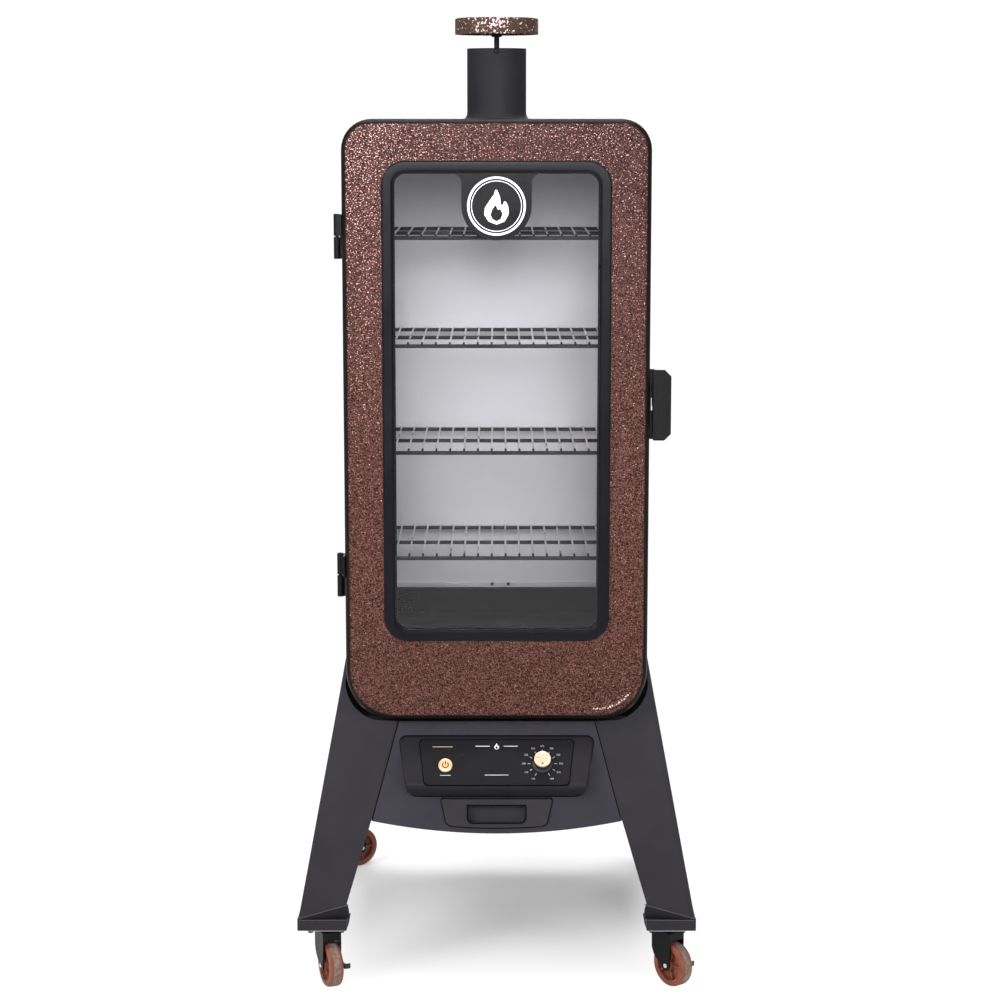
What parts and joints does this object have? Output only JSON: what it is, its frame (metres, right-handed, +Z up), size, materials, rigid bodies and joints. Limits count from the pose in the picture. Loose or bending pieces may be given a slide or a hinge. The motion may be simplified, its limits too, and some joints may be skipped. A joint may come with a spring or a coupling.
{
  "type": "cabinet smoker",
  "caption": "Vertical cabinet smoker: windowed door, wire racks, pellet hopper and auger, smoke stack, control panel, ash drawer and a splayed stand on casters.",
  "frame": {"origin": "on the floor under the centre of the bounding box", "axes": "+X to the right seen from the door, +Y to the rear, +Z up; the door faces -Y"},
  "size_m": [0.676, 0.7571, 1.634],
  "materials": {
    "copper_hammertone": "hammertone gloss",
    "black_paint": "satin",
    "charcoal_paint": "satin",
    "liner_steel": "brushed",
    "mineral_wool": "fibrous",
    "window_glass": "clear",
    "rope_seal": "woven",
    "rack_wire": "plated",
    "black_enamel": "enamelled",
    "cast_pot": "raw",
    "plain_steel": "zinc plated",
    "motor_case": "satin",
    "black_plastic": "fine texture",
    "board_green": "coated",
    "lamp_red": "translucent",
    "copper_trim": "metallic",
    "fork_black": "gloss",
    "wheel_rust": "satin"
  },
  "bodies": {
    "cabinet": {"outer_shell": "black_paint", "rear_panel": "black_paint", "inner_liner": "liner_steel", "insulation": "mineral_wool", "rack_rails": "liner_steel", "heat_deflector": "black_enamel", "burn_pot": "cast_pot", "igniter_rod": "plain_steel", "temperature_probe": "liner_steel", "auger_tube": "plain_steel", "auger_motor": "motor_case", "pellet_hopper": "black_paint", "fan_housing": "motor_case", "aprons": "charcoal_paint", "base_deck": "black_paint", "base_floor": "black_paint", "legs": "charcoal_paint", "control_bezel": "black_plastic", "faceplate": "black_plastic", "control_board": "board_green", "status_lamp": "lamp_red", "power_inlet": "black_plastic", "stack_pipe": "black_paint", "stack_bracket": "black_paint", "hinge_brackets": "black_paint", "caster_plates": "plain_steel", "screws": "fork_black"},
    "door": {"door_skin": "copper_hammertone", "door_liner": "liner_steel", "door_insulation": "mineral_wool", "window_glass": "window_glass", "window_trim": "black_paint", "glass_retainer": "black_paint", "door_gasket": "rope_seal", "hinge_leaves": "black_paint", "latch_bracket": "black_paint"},
    "latch": {"latch_handle": "black_paint"},
    "rack_1": {"rack_1": "rack_wire"},
    "rack_2": {"rack_2": "rack_wire"},
    "rack_3": {"rack_3": "rack_wire"},
    "rack_4": {"rack_4": "rack_wire"},
    "pan": {"water_pan": "black_enamel"},
    "drawer": {"ash_drawer": "black_paint"},
    "lid": {"hopper_lid": "black_paint"},
    "auger": {"auger_screw": "plain_steel"},
    "impeller": {"fan_impeller": "black_plastic"},
    "knob": {"temperature_knob": "copper_trim"},
    "button": {"power_button": "copper_trim"},
    "cap_carrier": {"cap_nut": "plain_steel"},
    "cap": {"stack_cap": "copper_hammertone"},
    "front_left_caster": {"front_left_fork": "fork_black"},
    "front_right_caster": {"front_right_fork": "fork_black"},
    "rear_left_caster": {"rear_left_fork": "fork_black"},
    "rear_right_caster": {"rear_right_fork": "fork_black"},
    "front_left_roller": {"front_left_wheel": "wheel_rust"},
    "front_right_roller": {"front_right_wheel": "wheel_rust"},
    "rear_left_roller": {"rear_left_wheel": "wheel_rust"},
    "rear_right_roller": {"rear_right_wheel": "wheel_rust"},
    "left_brake": {"left_brake_lever": "black_plastic"},
    "right_brake": {"right_brake_lever": "black_plastic"}
  },
  "joints": [
    {"name": "door_hinge", "type": "hinge", "parent": "cabinet", "child": "door", "pos_m": [-0.2635, -0.281, 1], "axis": [0, 0, -1], "range_deg": [0, 115]},
    {"name": "latch_pivot", "type": "hinge", "parent": "door", "child": "latch", "pos_m": [0.263, -0.309, 0.9955], "axis": [0, 0, -1], "range_deg": [0, 25], "stiffness_Nm_per_rad": 0.4, "springref_deg": -11.46},
    {"name": "rack_1_slide", "type": "slide", "parent": "cabinet", "child": "rack_1", "axis": [0, -1, 0], "range_m": [0, 0.045]},
    {"name": "rack_2_slide", "type": "slide", "parent": "cabinet", "child": "rack_2", "axis": [0, -1, 0], "range_m": [0, 0.045]},
    {"name": "rack_3_slide", "type": "slide", "parent": "cabinet", "child": "rack_3", "axis": [0, -1, 0], "range_m": [0, 0.045]},
    {"name": "rack_4_slide", "type": "slide", "parent": "cabinet", "child": "rack_4", "axis": [0, -1, 0], "range_m": [0, 0.045]},
    {"name": "pan_slide", "type": "slide", "parent": "cabinet", "child": "pan", "axis": [0, -1, 0], "range_m": [0, 0.045]},
    {"name": "drawer_slide", "type": "slide", "parent": "cabinet", "child": "drawer", "axis": [0, -1, 0], "range_m": [0, 0.18]},
    {"name": "lid_hinge", "type": "hinge", "parent": "cabinet", "child": "lid", "pos_m": [0, 0.331, 0.865], "axis": [-1, 0, 0], "range_deg": [0, 100]},
    {"name": "auger_spin", "type": "hinge", "parent": "cabinet", "child": "auger", "pos_m": [0, 0.1, 0.515], "axis": [0, 1, 0], "continuous": true},
    {"name": "fan_spin", "type": "hinge", "parent": "cabinet", "child": "impeller", "pos_m": [0, 0.071, 0.381], "axis": [0, 1, 0], "continuous": true},
    {"name": "knob_turn", "type": "hinge", "parent": "cabinet", "child": "knob", "pos_m": [0.0775, -0.3168, 0.3835], "axis": [0, -0.809, 0.5878], "range_deg": [-330, 0]},
    {"name": "button_press", "type": "slide", "parent": "cabinet", "child": "button", "axis": [0, 0.809, -0.5878], "range_m": [0, 0.002], "stiffness_N_per_m": 800, "springref_m": -0.002},
    {"name": "cap_lift", "type": "slide", "parent": "cabinet", "child": "cap_carrier", "axis": [0, 0, 1], "range_m": [-0.005, 0.008]},
    {"name": "cap_spin", "type": "hinge", "parent": "cap_carrier", "child": "cap", "pos_m": [0, -0.069, 1.62], "axis": [0, 0, 1], "range_deg": [-1200, 1920]},
    {"name": "front_left_swivel", "type": "hinge", "parent": "cabinet", "child": "front_left_caster", "pos_m": [-0.29, -0.3235, 0.095], "axis": [0, 0, 1], "continuous": true},
    {"name": "front_left_wheel_spin", "type": "hinge", "parent": "front_left_caster", "child": "front_left_roller", "pos_m": [-0.28326, -0.34019, 0.038], "axis": [0.9272, 0.3746, 0], "continuous": true},
    {"name": "front_right_swivel", "type": "hinge", "parent": "cabinet", "child": "front_right_caster", "pos_m": [0.29, -0.3235, 0.095], "axis": [0, 0, 1], "continuous": true},
    {"name": "front_right_wheel_spin", "type": "hinge", "parent": "front_right_caster", "child": "front_right_roller", "pos_m": [0.30133, -0.33749, 0.038], "axis": [0.7771, 0.6293, 0], "continuous": true},
    {"name": "rear_left_swivel", "type": "hinge", "parent": "cabinet", "child": "rear_left_caster", "pos_m": [-0.29, 0.3235, 0.095], "axis": [0, 0, 1], "continuous": true},
    {"name": "rear_left_wheel_spin", "type": "hinge", "parent": "rear_left_caster", "child": "rear_left_roller", "pos_m": [-0.2749, 0.3333, 0.038], "axis": [-0.5446, 0.8387, 0], "continuous": true},
    {"name": "rear_right_swivel", "type": "hinge", "parent": "cabinet", "child": "rear_right_caster", "pos_m": [0.29, 0.3235, 0.095], "axis": [0, 0, 1], "continuous": true},
    {"name": "rear_right_wheel_spin", "type": "hinge", "parent": "rear_right_caster", "child": "rear_right_roller", "pos_m": [0.29556, 0.34062, 0.038], "axis": [-0.9511, 0.309, 0], "continuous": true},
    {"name": "left_brake_press", "type": "hinge", "parent": "front_left_caster", "child": "left_brake", "pos_m": [-0.28326, -0.34019, 0.038], "axis": [0.9272, 0.3746, 0], "range_deg": [0, 25]},
    {"name": "right_brake_press", "type": "hinge", "parent": "front_right_caster", "child": "right_brake", "pos_m": [0.30133, -0.33749, 0.038], "axis": [0.7771, 0.6293, 0], "range_deg": [0, 25]}
  ],
  "couplings": [
    {"joint": "cap_lift", "follows": "cap_spin", "m_per_rad": 0.00023873}
  ]
}
